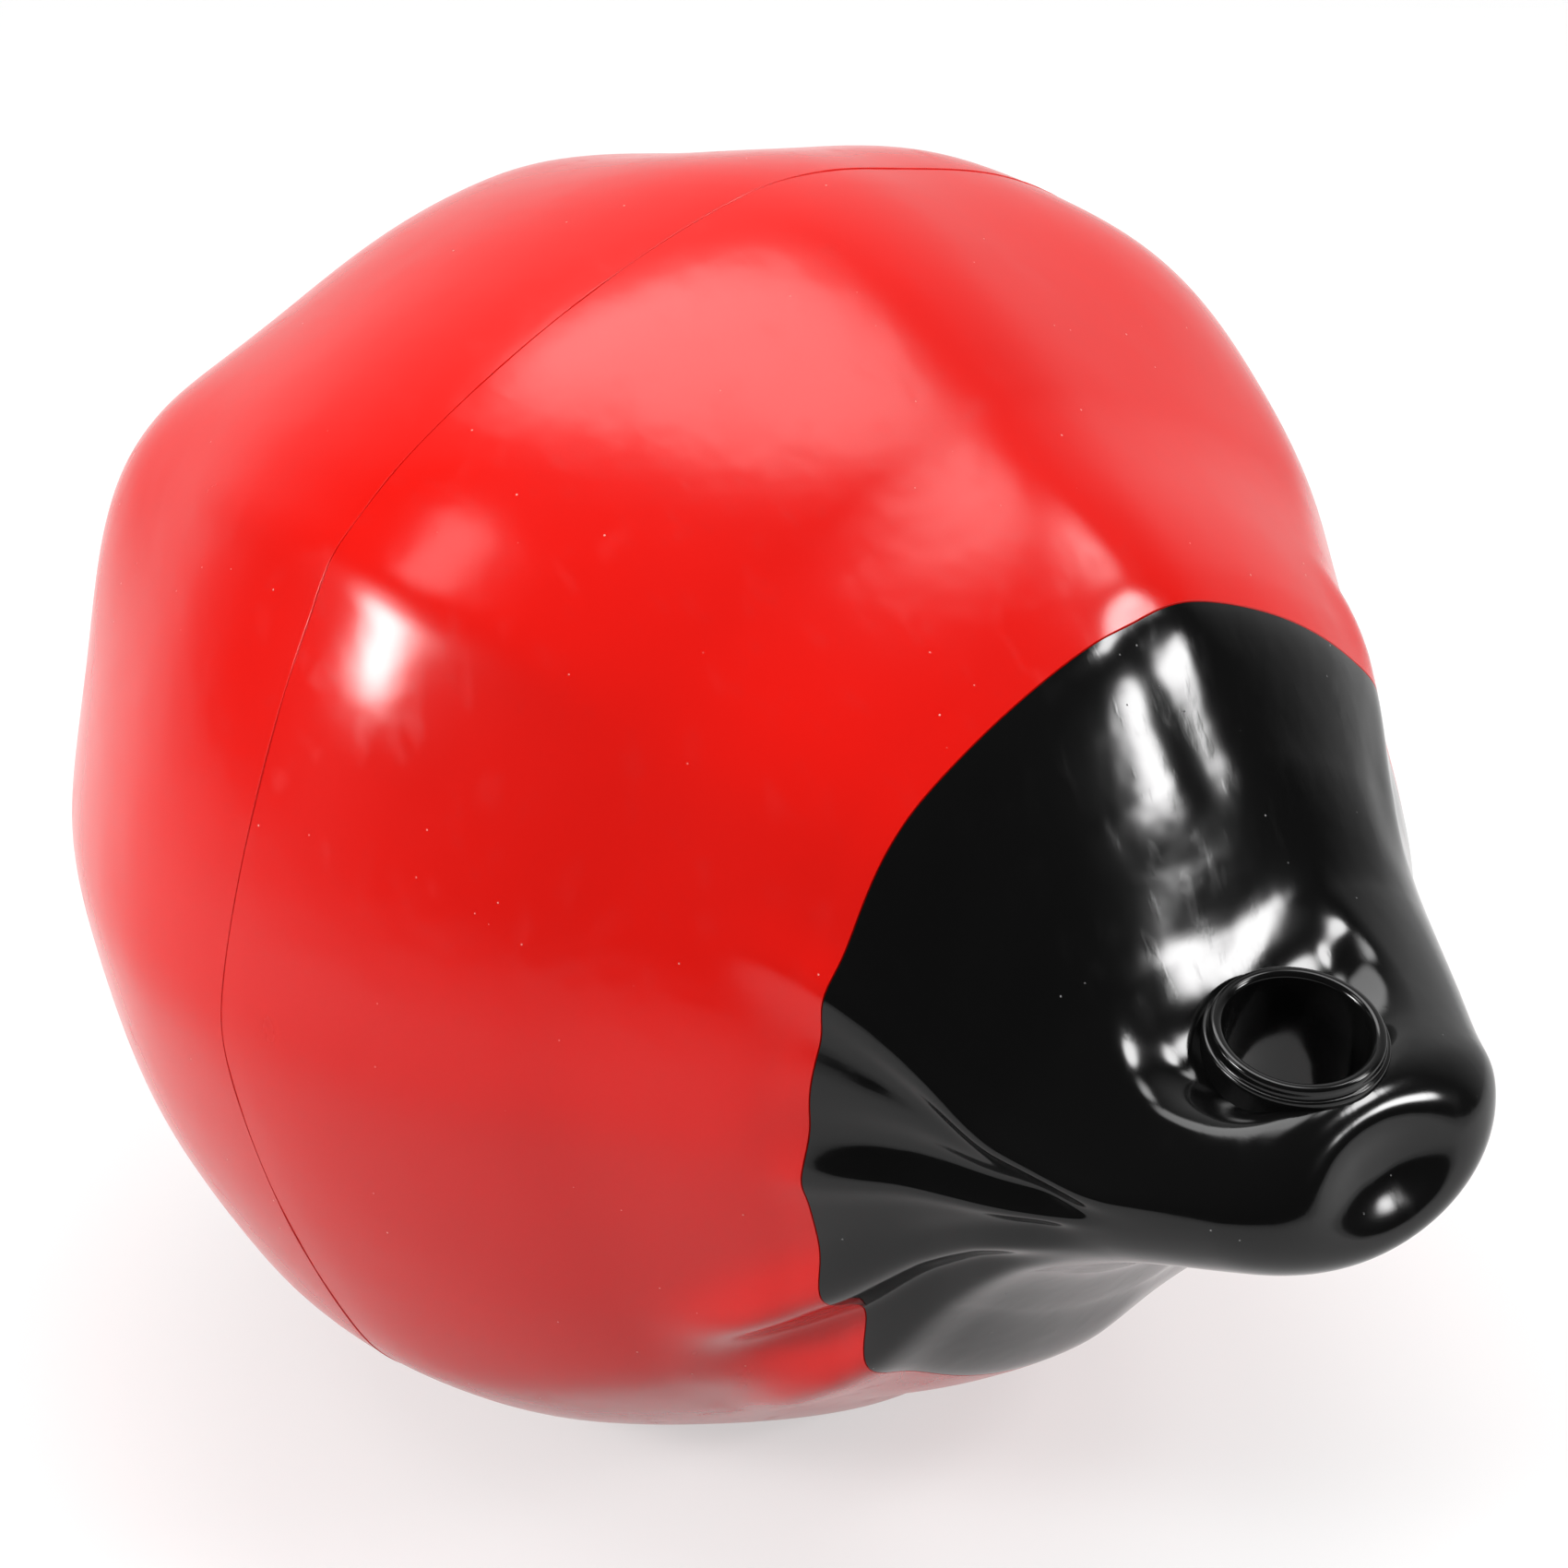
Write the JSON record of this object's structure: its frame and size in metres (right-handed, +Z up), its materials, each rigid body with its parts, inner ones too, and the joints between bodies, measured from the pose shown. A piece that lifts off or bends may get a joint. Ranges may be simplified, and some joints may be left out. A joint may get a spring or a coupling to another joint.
{
  "type": "ball fender",
  "caption": "Partly filled round boat fender, red soft ball with a black neck and a rope eye, lying on its side.",
  "frame": {"origin": "middle of the flat patch that the ball lies on, under the middle of the ball", "axes": "+X along the fender from the ball to the rope eye, +Z up, lying on its side as in the picture"},
  "size_m": [0.3699, 0.3043, 0.2891],
  "materials": {
    "red_vinyl": "glossy soft vinyl, fine scuffs, mould line round the middle",
    "black_vinyl": "glossy soft vinyl, fine specks",
    "valve_rubber": "matt rubber plug"
  },
  "bodies": {
    "root": {"ball": "red_vinyl", "rope_hold": "black_vinyl", "air_valve": "valve_rubber"}
  },
  "joints": []
}
